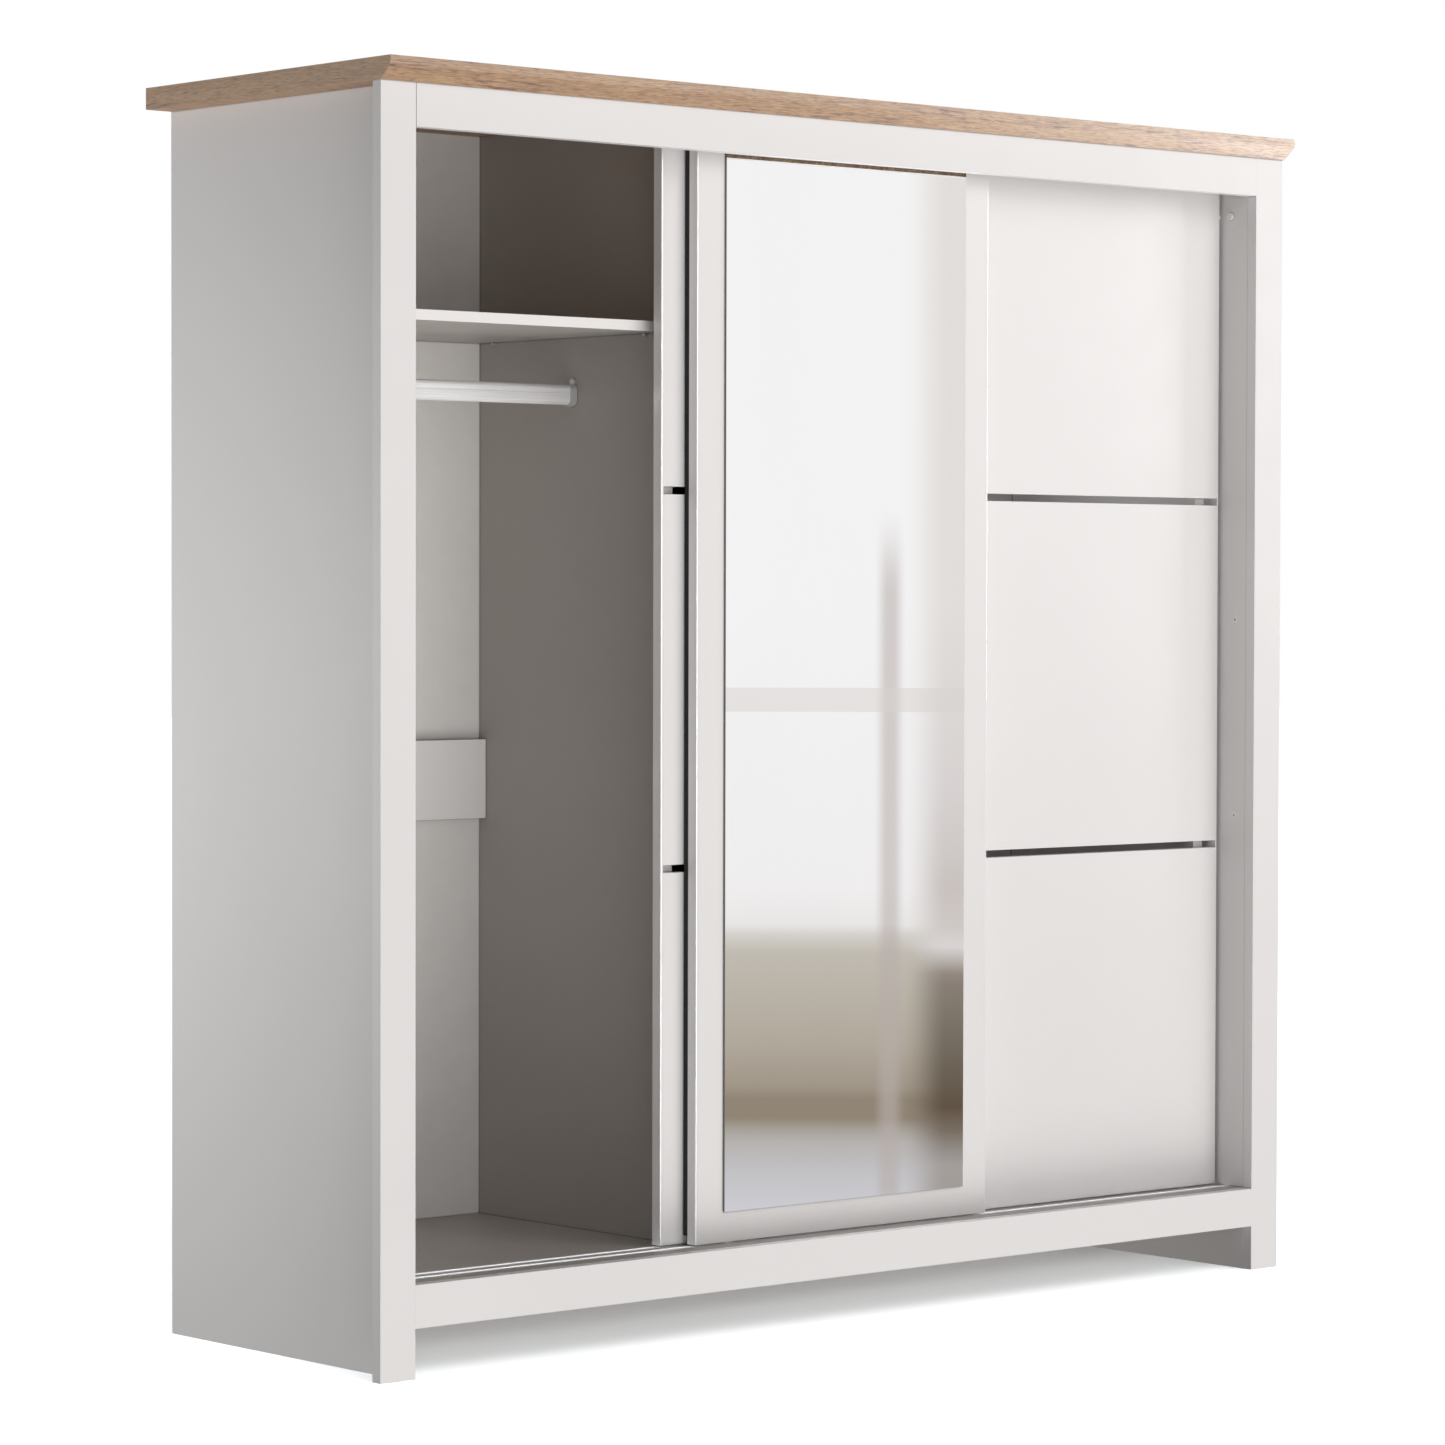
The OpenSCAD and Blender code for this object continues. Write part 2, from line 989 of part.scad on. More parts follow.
mirror_door_wheel_housings();
mirror_door_top_guides();
mirror_door_left_wheel();
mirror_door_right_wheel();
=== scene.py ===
"""Finishes, studio and camera for the sliding door wardrobe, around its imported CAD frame."""

import json
import math

import bpy
from mathutils import Matrix, Vector


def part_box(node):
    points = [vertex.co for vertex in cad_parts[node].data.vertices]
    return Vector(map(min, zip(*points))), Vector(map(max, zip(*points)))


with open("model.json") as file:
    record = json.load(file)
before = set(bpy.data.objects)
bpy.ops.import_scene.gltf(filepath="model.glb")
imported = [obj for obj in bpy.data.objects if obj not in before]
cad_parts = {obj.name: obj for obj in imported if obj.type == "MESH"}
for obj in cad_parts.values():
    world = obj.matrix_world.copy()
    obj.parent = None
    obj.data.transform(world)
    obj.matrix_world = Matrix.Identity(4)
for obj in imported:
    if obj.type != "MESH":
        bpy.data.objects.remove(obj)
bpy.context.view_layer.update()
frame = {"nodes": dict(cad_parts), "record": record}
scene = bpy.context.scene
slot_of = {part["node"]: part["material_slot"] for part in frame["record"]["subparts"]}


# ---------------------------------------------------------------- node trees


class Tree:
    """A node tree with short ways to add and join its nodes."""

    def __init__(self, tree):
        self.tree = tree
        self.tree.nodes.clear()

    def add(self, kind, inputs=None, out=0, **settings):
        """Adds a node, sets or links its inputs, and returns one of its outputs."""
        node = self.tree.nodes.new("ShaderNode" + kind)
        for key, value in settings.items():
            setattr(node, key, value)
        for key, value in (inputs or {}).items():
            if isinstance(value, bpy.types.NodeSocket):
                self.tree.links.new(value, node.inputs[key])
            else:
                node.inputs[key].default_value = value
        return node.outputs[out] if node.outputs else None

    def maths(self, operation, a, b=0.0, c=0.0, clamp=False):
        return self.add("Math", {0: a, 1: b, 2: c}, operation=operation, use_clamp=clamp)

    def dot(self, vector, axis):
        return self.add("VectorMath", {0: vector, 1: axis}, out="Value", operation="DOT_PRODUCT")

    def remap(self, value, low, high, to_low=0.0, to_high=1.0, smooth=False):
        kind = "SMOOTHSTEP" if smooth else "LINEAR"
        return self.add(
            "MapRange",
            {
                "Value": value,
                "From Min": low,
                "From Max": high,
                "To Min": to_low,
                "To Max": to_high,
            },
            interpolation_type=kind,
        )

    def mix(self, factor, a, b):
        """One colour blended over another."""
        return self.add("Mix", {0: factor, 6: a, 7: b}, out=2, data_type="RGBA")

    def scaled(self, vector, scale):
        return self.add("Mapping", {"Vector": vector, "Scale": scale})

    def noise(self, vector, scale, detail=3.0, roughness=0.5, out=0):
        return self.add(
            "TexNoise",
            {"Vector": vector, "Scale": scale, "Detail": detail, "Roughness": roughness},
            out=out,
        )

    def bump(self, height, strength, distance, normal=None):
        inputs = {"Height": height, "Strength": strength, "Distance": distance}
        if normal is not None:
            inputs["Normal"] = normal
        return self.add("Bump", inputs)


class Finish(Tree):
    """A material under construction, with its object coordinates at hand."""

    def __init__(self, name):
        self.material = bpy.data.materials.new(name)
        self.material.use_nodes = True
        super().__init__(self.material.node_tree)
        self.place = self.add("TexCoord", out="Object")
        self.facing = self.add("TexCoord", out="Normal")

    def rounded(self, radius):
        """A normal that eases each sharp edge over the radius, as a real board's edge is eased."""
        return self.add("Bevel", {"Radius": radius}, samples=4)

    def edge(self, radius):
        """1 right on a sharp edge, falling to 0 on the flat."""
        eased = self.rounded(radius)
        true = self.add("NewGeometry", out="True Normal")
        along = self.add("VectorMath", {0: eased, 1: true}, out="Value", operation="DOT_PRODUCT")
        return self.remap(along, 1.0, 0.8)

    def seam(self, colour, dark, reach=0.0035, strength=0.9):
        """Painted shade: the colour, darkened wherever ambient occlusion finds the fine crease
        where two boards meet.
        """
        open_sky = self.add("AmbientOcclusion", {"Distance": reach}, out="AO", samples=6)
        line = self.remap(open_sky, 0.85, 0.5, 0.0, strength)
        return self.mix(line, colour, rgba(*dark))

    def done(self, **inputs):
        """Ends the tree in one principled shader."""
        names = {key.replace("_", " "): value for key, value in inputs.items()}
        shader = self.add("BsdfPrincipled", names)
        self.add("OutputMaterial", {"Surface": shader})
        return self.material


def rgba(red, green, blue):
    return (red, green, blue, 1.0)


# ---------------------------------------------------------------- finishes


# Half the width over the two side panels, whose rear edges are bare, and a hair more.
RAW_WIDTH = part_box("right_side_panel")[1][0] + 0.001
# A face counts as looking along an axis when its normal leans this far that way.
SQUARE_ON = 0.7


def laminate(name, light, dark, roughness, rounding, band=None, raw=False):
    """Melamine-faced board: a fine pearl skin, a slow change of tone, and eased, faintly worn
    edges. With a band colour, the faces that look forward are banded edges of that colour; with
    raw set, the faces that look back, but not those of the posts, are bare chipboard."""
    f = Finish(name)
    cloud = f.noise(f.place, 2.6, detail=3.0)
    speckle = f.noise(f.place, 900.0, detail=2.0)
    tone = f.maths("ADD", f.remap(cloud, 0.3, 0.7, 0.0, 0.7), f.remap(speckle, 0.3, 0.7, 0.0, 0.3))
    worn = f.edge(rounding * 1.6)
    colour = f.mix(tone, rgba(*dark), rgba(*light))
    if band:
        front = f.maths("GREATER_THAN", f.dot(f.facing, (0.0, -1.0, 0.0)), SQUARE_ON)
        colour = f.mix(front, colour, rgba(*band))
    if raw:
        back = f.maths("GREATER_THAN", f.dot(f.facing, (0.0, 1.0, 0.0)), SQUARE_ON)
        off_middle = f.maths("ABSOLUTE", f.dot(f.place, (1.0, 0.0, 0.0)))
        back = f.maths("MULTIPLY", back, f.maths("LESS_THAN", off_middle, RAW_WIDTH))
        chips = f.noise(f.scaled(f.place, (300.0, 300.0, 120.0)), 1.0, detail=4.0, roughness=0.7)
        wood = f.mix(f.remap(chips, 0.35, 0.65), rgba(0.10, 0.065, 0.04), rgba(0.30, 0.21, 0.13))
        colour = f.mix(back, colour, wood)
    rubbed = rgba(*[c * 0.93 for c in dark])
    colour = f.mix(f.maths("MULTIPLY", worn, 0.35), colour, rubbed)
    # Painted shade in the creases where boards meet.
    colour = f.seam(colour, [c * 0.35 for c in dark])
    skin = f.noise(f.place, 1400.0, detail=2.0, roughness=0.6)
    ripple = f.noise(f.place, 55.0, detail=1.0)
    relief = f.maths("ADD", skin, f.maths("MULTIPLY", ripple, 1.5))
    smudges = f.noise(f.place, 14.0, detail=4.0)
    shine = f.remap(smudges, 0.3, 0.7, roughness - 0.04, roughness + 0.04)
    shine = f.maths("ADD", shine, f.maths("MULTIPLY", worn, 0.1))
    return f.done(
        Base_Color=colour,
        Roughness=shine,
        Specular_IOR_Level=0.25,
        Normal=f.bump(relief, 0.06, 0.0002, f.rounded(rounding)),
    )


def edge_band(name):
    """Polished edge banding: glossier than the boards, with fine scratches along its length."""
    f = Finish(name)
    streaks = f.noise(f.scaled(f.place, (1500.0, 1500.0, 6.0)), 1.0, detail=3.0)
    cloud = f.noise(f.place, 9.0)
    colour = f.mix(cloud, rgba(0.80, 0.79, 0.785), rgba(0.86, 0.855, 0.85))
    return f.done(
        Base_Color=colour,
        Roughness=f.remap(streaks, 0.3, 0.7, 0.16, 0.26),
        Coat_Weight=0.6,
        Coat_Roughness=0.12,
        Normal=f.bump(streaks, 0.05, 0.0001, f.rounded(0.0004)),
    )


def oak(name):
    """Oak decor: grain along each face, slow bands of tone, fibres, pores and open cracks."""
    f = Finish(name)
    # The grain runs along X, and along Y on the two end faces, as the edge banding is laid.
    parts = f.tree.nodes.new("ShaderNodeSeparateXYZ")
    f.tree.links.new(f.place, parts.inputs[0])
    x, y, z = parts.outputs
    side = f.maths("GREATER_THAN", f.maths("ABSOLUTE", f.dot(f.facing, (1.0, 0.0, 0.0))), 0.5)
    flat = f.maths("GREATER_THAN", f.maths("ABSOLUTE", f.dot(f.facing, (0.0, 0.0, 1.0))), 0.95)
    along = f.add("Mix", {0: side, 2: x, 3: y}, out=0, data_type="FLOAT")
    cross = f.add("Mix", {0: flat, 2: z, 3: y}, out=0, data_type="FLOAT")
    grain = f.add("CombineXYZ", {"X": along, "Y": cross, "Z": side})

    drift = f.noise(f.scaled(grain, (1.3, 9.0, 5.0)), 1.0, detail=3.0)
    swayed = f.maths("MULTIPLY_ADD", drift, 0.02, cross)
    bent = f.add("CombineXYZ", {"X": along, "Y": swayed, "Z": side})
    bands = f.noise(f.scaled(bent, (3.0, 75.0, 7.0)), 1.0, detail=4.0, roughness=0.6)
    fibres = f.noise(f.scaled(bent, (22.0, 900.0, 9.0)), 1.0, detail=4.0, roughness=0.65)
    dashes = f.noise(f.scaled(bent, (50.0, 850.0, 3.0)), 1.0, detail=3.0, roughness=0.5)
    cracks = f.noise(f.scaled(bent, (18.0, 330.0, 11.0)), 1.0, detail=4.0, roughness=0.7)
    places = f.noise(f.scaled(grain, (7.0, 60.0, 13.0)), 1.0, detail=1.0)

    colour = f.mix(f.remap(bands, 0.3, 0.7), rgba(0.29, 0.150, 0.064), rgba(0.41, 0.242, 0.118))
    colour = f.mix(f.remap(fibres, 0.42, 0.66, 0.0, 0.85), colour, rgba(0.56, 0.36, 0.20))
    pores = f.remap(dashes, 0.48, 0.36, 0.0, 0.8)
    colour = f.mix(pores, colour, rgba(0.17, 0.080, 0.038))
    open_crack = f.maths("MULTIPLY", f.remap(cracks, 0.50, 0.58), f.remap(places, 0.54, 0.62))
    colour = f.mix(f.maths("MULTIPLY", open_crack, 0.85), colour, rgba(0.14, 0.042, 0.022))
    worn = f.edge(0.0012)
    colour = f.mix(f.maths("MULTIPLY", worn, 0.3), colour, rgba(0.50, 0.34, 0.21))

    hollows = f.maths("ADD", pores, open_crack)
    relief = f.maths("SUBTRACT", f.maths("MULTIPLY", fibres, 0.5), hollows)
    shine = f.remap(fibres, 0.3, 0.7, 0.30, 0.40)
    return f.done(
        Base_Color=colour,
        Roughness=f.maths("MULTIPLY_ADD", flat, 0.25, shine),
        Specular_IOR_Level=1.0,
        Normal=f.bump(relief, 0.25, 0.0003, f.rounded(0.0006)),
    )


def back_board(name):
    """Thin lacquered fibreboard: slightly mottled, with a faint pressed texture."""
    f = Finish(name)
    mottle = f.noise(f.place, 38.0, detail=5.0, roughness=0.6)
    cloud = f.noise(f.place, 1.8)
    tone = f.maths("ADD", f.maths("MULTIPLY", mottle, 0.4), f.maths("MULTIPLY", cloud, 0.6))
    colour = f.mix(f.remap(tone, 0.35, 0.65), rgba(0.72, 0.70, 0.68), rgba(0.77, 0.75, 0.73))
    # Painted shade in the creases where other boards meet the back board.
    colour = f.seam(colour, (0.12, 0.10, 0.08))
    weave = f.noise(f.place, 700.0, detail=3.0)
    return f.done(
        Base_Color=colour,
        Roughness=f.remap(mottle, 0.3, 0.7, 0.5, 0.62),
        Normal=f.bump(weave, 0.12, 0.0002),
    )


def mirror(name):
    """Silvered glass: a mirror in front with the faintest smear, and a dark grey-brown rim."""
    f = Finish(name)
    front = f.maths("GREATER_THAN", f.dot(f.facing, (0.0, -1.0, 0.0)), SQUARE_ON)
    smear = f.noise(f.scaled(f.place, (3.0, 3.0, 1.2)), 2.0, detail=5.0, roughness=0.6)
    haze = f.remap(smear, 0.4, 0.8, 0.0, 0.012)
    streak = f.noise(f.scaled(f.place, (400.0, 400.0, 30.0)), 1.0)
    rim = f.mix(streak, rgba(0.15, 0.14, 0.13), rgba(0.21, 0.195, 0.18))
    silver = f.mix(smear, rgba(0.93, 0.935, 0.94), rgba(0.955, 0.96, 0.96))
    return f.done(
        Base_Color=f.mix(front, rim, silver),
        Metallic=front,
        Roughness=f.add("Mix", {0: front, 2: 0.12, 3: haze}, out=0, data_type="FLOAT"),
    )


def extrusion(name, colour, roughness, line_scale, metallic, relief, streak):
    """Aluminium with lines along X and a soft broken sheen across them. Both uses of it are
    only partly metallic, on a pale base."""
    f = Finish(name)
    lines = f.noise(f.scaled(f.place, line_scale), 1.0, detail=4.0, roughness=0.7)
    cloud = f.noise(f.place, 20.0, detail=3.0)
    pale = [min(1.0, c * 1.06) for c in colour]
    dull = [c * (1.0 - streak) for c in colour]
    return f.done(
        Base_Color=f.mix(f.remap(lines, 0.3, 0.7), rgba(*dull), rgba(*pale)),
        Metallic=metallic,
        Roughness=f.remap(cloud, 0.3, 0.7, roughness - 0.05, roughness + 0.05),
        Anisotropic=0.4,
        Normal=f.bump(lines, relief, 0.0001, f.rounded(0.0004)),
    )


def plated_steel(name):
    """Zinc-plated steel: spangled, slightly blotched, with bright worn rims."""
    f = Finish(name)
    spangle = f.add("TexVoronoi", {"Vector": f.place, "Scale": 900.0}, out="Color")
    grey = f.add("RGBToBW", {0: spangle})
    blotch = f.noise(f.place, 130.0, detail=4.0)
    colour = f.mix(grey, rgba(0.50, 0.50, 0.51), rgba(0.66, 0.66, 0.66))
    colour = f.mix(f.remap(blotch, 0.5, 0.8, 0.0, 0.5), colour, rgba(0.58, 0.55, 0.47))
    colour = f.mix(f.maths("MULTIPLY", f.edge(0.0004), 0.6), colour, rgba(0.80, 0.80, 0.80))
    return f.done(
        Base_Color=colour,
        Metallic=1.0,
        Roughness=f.remap(blotch, 0.3, 0.7, 0.28, 0.42),
        Normal=f.bump(blotch, 0.1, 0.0001, f.rounded(0.0002)),
    )


def moulded(name, light, dark, roughness, coat):
    """Moulded plastic: a fine spark-eroded skin, small tone changes and rubbed edges."""
    f = Finish(name)
    skin = f.noise(f.place, 1600.0, detail=2.0, roughness=0.7)
    cloud = f.noise(f.place, 45.0, detail=3.0)
    colour = f.mix(f.remap(cloud, 0.3, 0.7), rgba(*dark), rgba(*light))
    rubbed = rgba(*[min(1.0, c * 1.08) for c in light])
    colour = f.mix(f.maths("MULTIPLY", f.edge(0.0005), 0.4), colour, rubbed)
    return f.done(
        Base_Color=colour,
        Roughness=f.remap(cloud, 0.3, 0.7, roughness - 0.05, roughness + 0.05),
        Coat_Weight=coat,
        Coat_Roughness=0.15,
        Normal=f.bump(skin, 0.15, 0.0001, f.rounded(0.0003)),
    )


def brush(name):
    """Dense black brush pile: fine bristles standing out of the strip, in faint tufts."""
    f = Finish(name)
    bristles = f.noise(f.scaled(f.place, (2600.0, 90.0, 2600.0)), 1.0, detail=3.0, roughness=0.6)
    tufts = f.noise(f.place, 240.0, detail=2.0)
    pile = f.remap(bristles, 0.35, 0.7)
    colour = f.mix(pile, rgba(0.008, 0.008, 0.009), rgba(0.045, 0.044, 0.046))
    return f.done(
        Base_Color=colour,
        Roughness=f.remap(tufts, 0.3, 0.7, 0.75, 0.95),
        Specular_IOR_Level=0.2,
        Normal=f.bump(bristles, 0.6, 0.0004),
    )


finishes = {
    "white_laminate": laminate(
        "white_laminate", (0.80, 0.785, 0.78), (0.77, 0.755, 0.75), 0.42, 0.0007, raw=True
    ),
    "white_doors": laminate("white_doors", (0.81, 0.795, 0.79), (0.785, 0.77, 0.765), 0.36, 0.0006),
    # Darker than the outside boards: it stands in for shade that the lamps do not give.
    "white_interior": laminate(
        "white_interior",
        (0.40, 0.372, 0.35),
        (0.375, 0.35, 0.328),
        0.45,
        0.0006,
        band=(0.82, 0.80, 0.785),
    ),
    "edge_banding": edge_band("edge_banding"),
    "oak_decor": oak("oak_decor"),
    "back_board": back_board("back_board"),
    "mirror": mirror("mirror"),
    "brush_pile": brush("brush_pile"),
    "rail_aluminium": extrusion(
        "rail_aluminium", (0.97, 0.97, 0.99), 0.2, (2.5, 330.0, 330.0), 0.12, 0.4, 0.22
    ),
    "track_aluminium": extrusion(
        "track_aluminium", (0.93, 0.93, 0.95), 0.2, (3.0, 900.0, 900.0), 0.35, 0.02, 0.1
    ),
    "steel_fixings": plated_steel("steel_fixings"),
    "white_fittings": moulded("white_fittings", (0.86, 0.855, 0.85), (0.82, 0.815, 0.81), 0.3, 0.3),
    "grey_plastic": moulded("grey_plastic", (0.50, 0.50, 0.49), (0.44, 0.44, 0.43), 0.4, 0.1),
    "guide_plastic": moulded("guide_plastic", (0.62, 0.62, 0.60), (0.56, 0.56, 0.54), 0.45, 0.0),
    "wheel_plastic": moulded("wheel_plastic", (0.74, 0.74, 0.72), (0.68, 0.68, 0.66), 0.4, 0.1),
}

for name, part in frame["nodes"].items():
    for place in range(len(part.data.materials)):
        part.data.materials[place] = finishes[slot_of[name]]


# ---------------------------------------------------------------- studio


def stage_object(name, corners, faces, material):
    mesh = bpy.data.meshes.new(name)
    mesh.from_pydata([Vector(c) for c in corners], [], faces)
    mesh.materials.append(material)
    made = bpy.data.objects.new(name, mesh)
    scene.collection.objects.link(made)
    return made


def floor_material():
    """Smooth pale studio floor, with a hardly visible mottle."""
    f = Finish("studio_floor")
    mottle = f.noise(f.place, 5.0, detail=4.0)
    colour = f.mix(mottle, rgba(0.87, 0.90, 0.91), rgba(0.90, 0.93, 0.94))
    return f.done(Base_Color=colour, Roughness=0.9, Specular_IOR_Level=0.1)


FLOOR = 30.0
floor = stage_object(
    "studio_floor",
    [(-FLOOR, -FLOOR, 0), (FLOOR, -FLOOR, 0), (FLOOR, FLOOR, 0), (-FLOOR, FLOOR, 0)],
    [(0, 1, 2, 3)],
    floor_material(),
)
floor.location.z = -0.0002
# The floor throws nothing back up: that is part of the studio's own light below.
floor.visible_diffuse = False
floor.visible_glossy = False
floor.visible_shadow = False


def direction(azimuth, elevation):
    """A unit vector: azimuth 0 in front of the wardrobe, 90 to its right."""
    azimuth, elevation = math.radians(azimuth), math.radians(elevation)
    flat = math.cos(elevation)
    return (math.sin(azimuth) * flat, -math.cos(azimuth) * flat, math.sin(elevation))


# Soft lobes of light: azimuth, elevation, sharpness, strength.
LOBES = [
    (0, -60, 8, 2.1),
    (0, -30, 8, 2.35),
    (0, 0, 8, 0.25),
    (18, 30, 8, 1.15),
    (112, 8, 6, 0.7),
    (165, 20, 2, 0.55),
    (0, 90, 2, 0.1),
]

# The picture that glossy rays see instead of the studio, by the height of the view, from the
# floor and rug up to the wall. It is laid out for the mirror door.
ROOM_LOW, ROOM_HIGH = -0.13, 0.0
ROOM = [
    (-0.126, (0.64, 0.63, 0.67)),
    (-0.119, (0.58, 0.57, 0.59)),
    (-0.1125, (0.50, 0.47, 0.46)),
    (-0.110, (0.41, 0.38, 0.34)),
    (-0.1075, (0.30, 0.25, 0.19)),
    (-0.1035, (0.30, 0.25, 0.19)),
    (-0.101, (0.37, 0.32, 0.26)),
    (-0.0925, (0.46, 0.41, 0.34)),
    (-0.0735, (0.56, 0.52, 0.46)),
    (-0.070, (0.68, 0.65, 0.61)),
    (-0.0675, (0.86, 0.84, 0.83)),
    (-0.060, (0.92, 0.90, 0.90)),
    (0.000, (0.95, 0.94, 0.94)),
]
# The same past the room's corner, where it is darker.
ROOM_RIGHT = [
    (-0.125, (0.37, 0.34, 0.33)),
    (-0.117, (0.39, 0.36, 0.34)),
    (-0.1145, (0.33, 0.30, 0.28)),
    (-0.110, (0.20, 0.165, 0.13)),
    (-0.105, (0.125, 0.09, 0.06)),
    (-0.0925, (0.18, 0.155, 0.12)),
    (-0.080, (0.26, 0.22, 0.185)),
    (-0.0775, (0.31, 0.265, 0.23)),
    (-0.075, (0.50, 0.46, 0.43)),
    (-0.072, (0.74, 0.70, 0.69)),
    (-0.068, (0.66, 0.61, 0.59)),
    (-0.060, (0.62, 0.57, 0.55)),
    (-0.040, (0.72, 0.68, 0.67)),
    (0.000, (0.80, 0.765, 0.745)),
]


# Directions in that picture, in degrees from straight ahead: its corner, where the darker part
# ends again, and the two sides of a curtain's fold.
CORNER = (43.15, 43.7)
DARK_END = (44.5, 50.0)
FOLD_LEFT = (42.81, 42.98)
FOLD_RIGHT = (43.21, 43.04)
FOLD_FOOT = (0.02, 0.0)
SKIRTING_HEIGHT, SKIRTING_HALF = -0.021, 0.0025


def ramp(tree, value, stops, low, high):
    """A run of colours along a value between low and high."""
    made = tree.add("ValToRGB", {0: tree.remap(value, low, high)})
    steps = made.node.color_ramp.elements
    for place, (height, colour) in enumerate(stops):
        at = (height - low) / (high - low)
        if place < 2:
            steps[place].position = at
        else:
            steps.new(at)
        steps[place].color = rgba(*colour)
    return made


def studio_world():
    """Plain white to the camera and soft lobes of light to matt surfaces, while glossy rays see
    the separate picture of a pale room."""
    world = bpy.data.worlds.new("studio")
    world.use_nodes = True
    w = Tree(world.node_tree)
    way = w.add("TexCoord", out="Generated")

    level = 0.02
    for azimuth, elevation, sharpness, strength in LOBES:
        toward = w.dot(way, direction(azimuth, elevation))
        facing = w.maths("MAXIMUM", toward)
        lobe = w.maths("POWER", facing, float(sharpness))
        level = w.maths("MULTIPLY_ADD", lobe, strength, level)
    light = w.add("Background", {"Color": rgba(1.0, 0.985, 0.975), "Strength": level})

    parts = w.tree.nodes.new("ShaderNodeSeparateXYZ")
    w.tree.links.new(way, parts.inputs[0])
    x, y, z = parts.outputs
    turn = w.maths("DEGREES", w.maths("ARCTAN2", x, w.maths("MULTIPLY", y, -1.0)))
    left = ramp(w, z, ROOM, ROOM_LOW, ROOM_HIGH)
    right = ramp(w, z, ROOM_RIGHT, ROOM_LOW, ROOM_HIGH)
    room = w.mix(w.remap(turn, *CORNER, smooth=True), left, right)
    room = w.mix(w.remap(turn, *DARK_END, smooth=True), room, left)
    # A curtain's fold and the top of a skirting, both faint.
    fold_left = w.remap(turn, *FOLD_LEFT, smooth=True)
    fold_right = w.remap(turn, *FOLD_RIGHT, smooth=True)
    fold = w.maths("MULTIPLY", fold_left, fold_right)
    fold = w.maths("MULTIPLY", fold, w.remap(z, *FOLD_FOOT, smooth=True))
    room = w.mix(w.maths("MULTIPLY", fold, 0.6), room, rgba(0.50, 0.44, 0.42))
    line = w.maths("COMPARE", z, SKIRTING_HEIGHT, SKIRTING_HALF)
    room = w.mix(w.maths("MULTIPLY", line, 0.5), room, rgba(0.72, 0.68, 0.65))
    seen_room = w.add("Background", {"Color": room, "Strength": 1.0})

    polished = w.add("LightPath", out="Is Glossy Ray")
    shade = w.add("MixShader", {0: polished, 1: light, 2: seen_room})
    plain = w.add("Background", {"Color": rgba(1.0, 1.0, 1.0), "Strength": 1.0})
    seen = w.add("LightPath", out="Is Camera Ray")
    both = w.add("MixShader", {0: seen, 1: shade, 2: plain})
    w.add("OutputWorld", {"Surface": both})
    return world


scene.world = studio_world()


def aim(thing, target):
    thing.rotation_euler = (Vector(target) - thing.location).to_track_quat("-Z", "Y").to_euler()


def softbox(name, place, target, width, height, power, sheen_only=False):
    """A soft rectangular light; with sheen_only it shows in gloss and lights nothing else."""
    lamp = bpy.data.lights.new(name, "AREA")
    lamp.shape = "RECTANGLE"
    lamp.size, lamp.size_y = width, height
    lamp.energy = power
    holder = bpy.data.objects.new(name, lamp)
    scene.collection.objects.link(holder)
    holder.location = place
    holder.visible_diffuse = not sheen_only
    aim(holder, target)
    return holder


softbox("key_light", (1.4, -3.6, 3.2), (-0.4, -0.2, 0.5), 1.3, 1.3, 15.0)
softbox("side_light", (-2.35, 0.95, 0.88), (-0.86, 0.0, 0.88), 1.0, 1.0, 16.5)
softbox("right_window", (5.5, -3.1, 1.95), (0.5, -0.26, 1.4), 2.2, 2.2, 180.0, sheen_only=True)
softbox("left_window", (-3.4, -5.2, 0.9), (-0.3, -0.2, 0.9), 4.0, 3.2, 620.0, sheen_only=True)
softbox("right_bay_glow", (0.565, 0.0, 1.33), (0.565, 0.1, 0.0), 0.4, 0.3, 0.42)


def only_on(lamp, name, lit):
    """Lets a lamp light only the objects given."""
    group = bpy.data.collections.new(name)
    for thing in lit:
        group.objects.link(thing)
    lamp.light_linking.receiver_collection = group


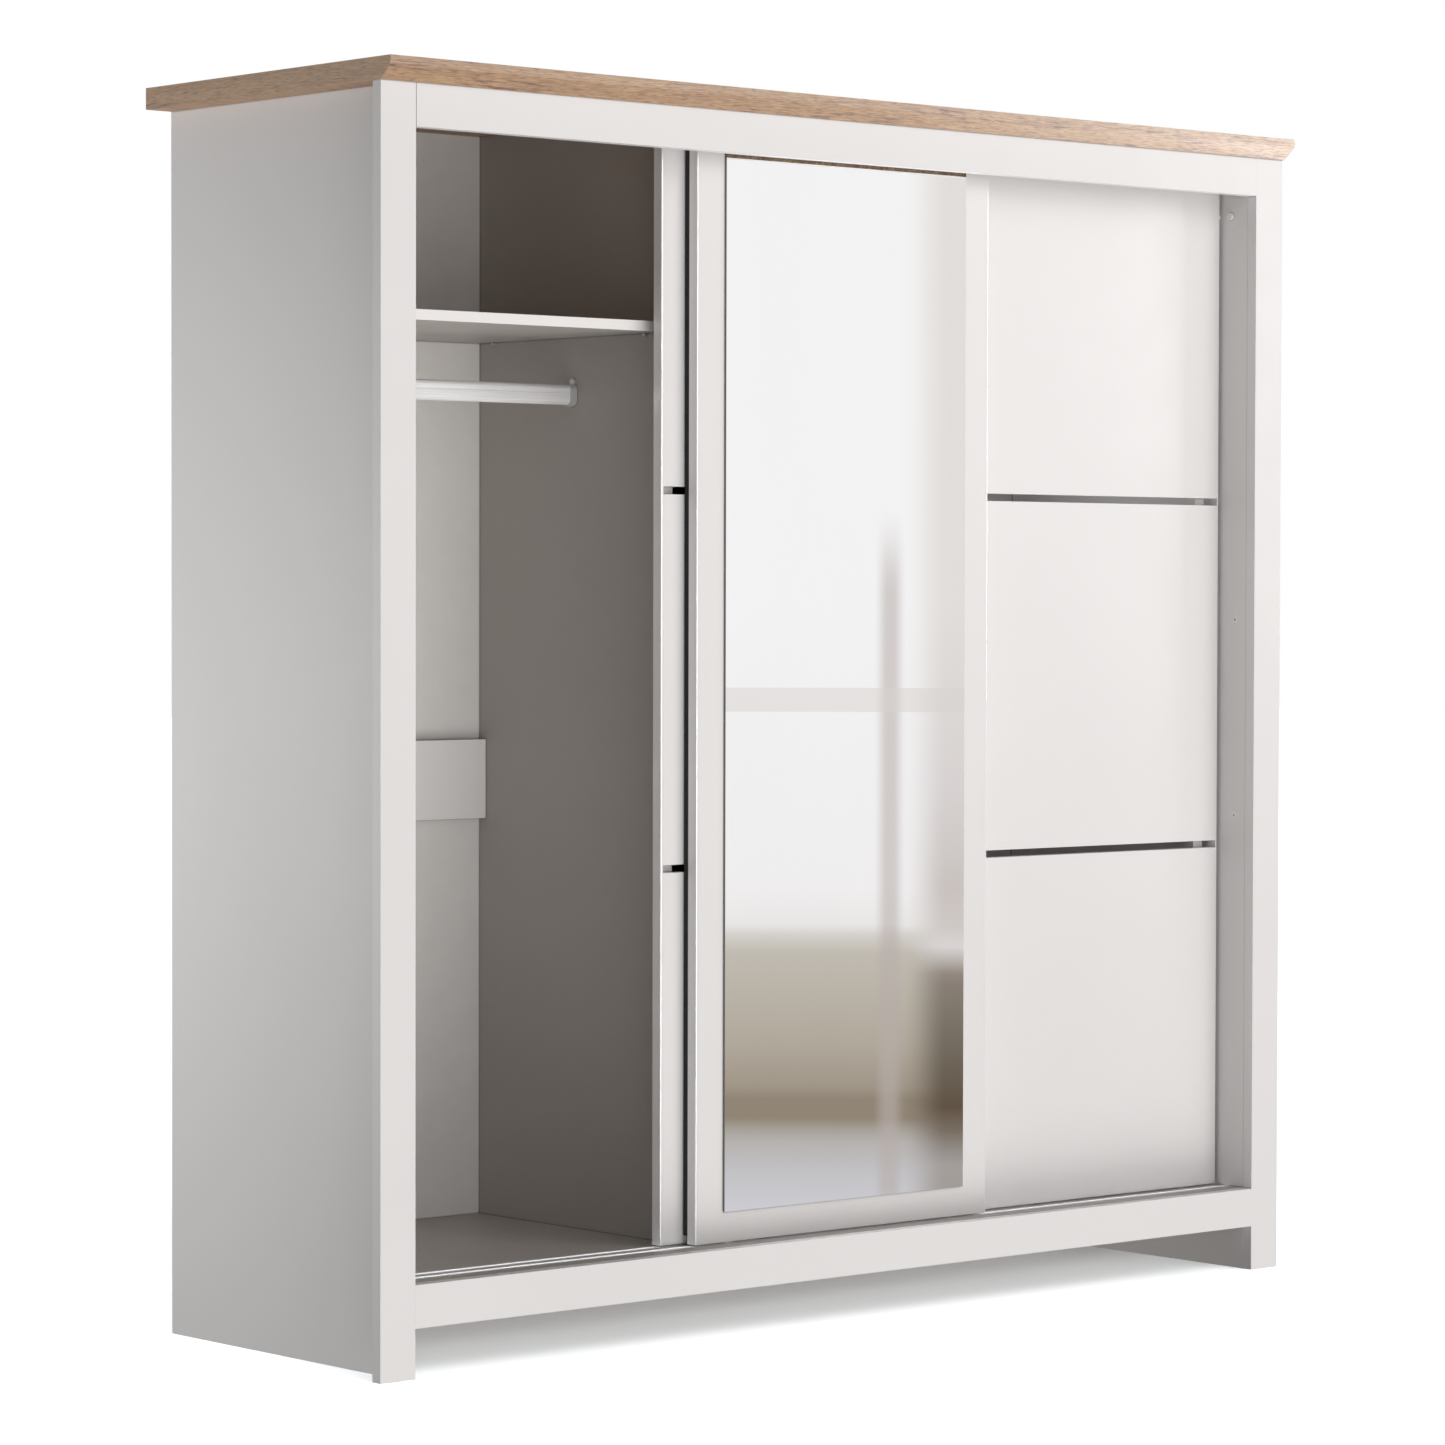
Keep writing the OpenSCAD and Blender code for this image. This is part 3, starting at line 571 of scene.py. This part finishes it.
tracks = [frame["nodes"][name] for name in ("front_bottom_track", "rear_bottom_track")]
track_light = softbox("track_light", (-0.6, -1.6, 1.2), (-0.6, -0.2, 0.13), 1.0, 0.4, 26.0)
only_on(track_light, "tracks_only", tracks)
low_window = softbox(
    "low_window", (2.7, -0.75, 0.15), (0.4, -0.28, 1.77), 1.5, 1.5, 45.0, sheen_only=True
)
only_on(low_window, "top_only", [frame["nodes"]["top_panel"]])


def floor_sun(name, azimuth, elevation, spread, strength):
    """A soft sun that lights the floor alone, for the wardrobe's shadow on it."""
    lamp = bpy.data.lights.new(name, "SUN")
    lamp.energy = strength
    lamp.angle = math.radians(spread)
    holder = bpy.data.objects.new(name, lamp)
    scene.collection.objects.link(holder)
    shining = -Vector(direction(azimuth, elevation))
    holder.rotation_euler = shining.to_track_quat("-Z", "Y").to_euler()
    only_on(holder, name, [floor])


floor_sun("floor_dome", 0, 90, 170.0, 1.55)
floor_sun("floor_front", -5, 22, 80.0, 2.9)
floor_sun("floor_low", -5, 12, 15.0, 4.0)
floor_sun("floor_left", -110, 35, 50.0, 1.4)


# ---------------------------------------------------------------- camera

# Place in metres, turns in degrees and lens in mm, as fitted to the photo's straight edges.
CAMERA_PLACE = Vector((-4.8316, -5.4959, 1.0700))
CAMERA_YAW, CAMERA_PITCH, CAMERA_ROLL = map(math.radians, (41.015, -1.476, 0.124))
CAMERA_LENS, CAMERA_SENSOR = 119.95, 36.0
camera_data = bpy.data.cameras.new("camera")
camera_data.lens = CAMERA_LENS
camera_data.sensor_width = CAMERA_SENSOR
camera_data.clip_start, camera_data.clip_end = 0.1, 200.0
camera = bpy.data.objects.new("camera", camera_data)
scene.collection.objects.link(camera)
turn = (
    Matrix.Rotation(-CAMERA_YAW, 4, "Z")
    @ Matrix.Rotation(math.pi / 2 + CAMERA_PITCH, 4, "X")
    @ Matrix.Rotation(CAMERA_ROLL, 4, "Z")
)
camera.matrix_world = Matrix.Translation(CAMERA_PLACE) @ turn
scene.camera = camera
scene.view_settings.view_transform = "Standard"

bpy.context.view_layer.update()
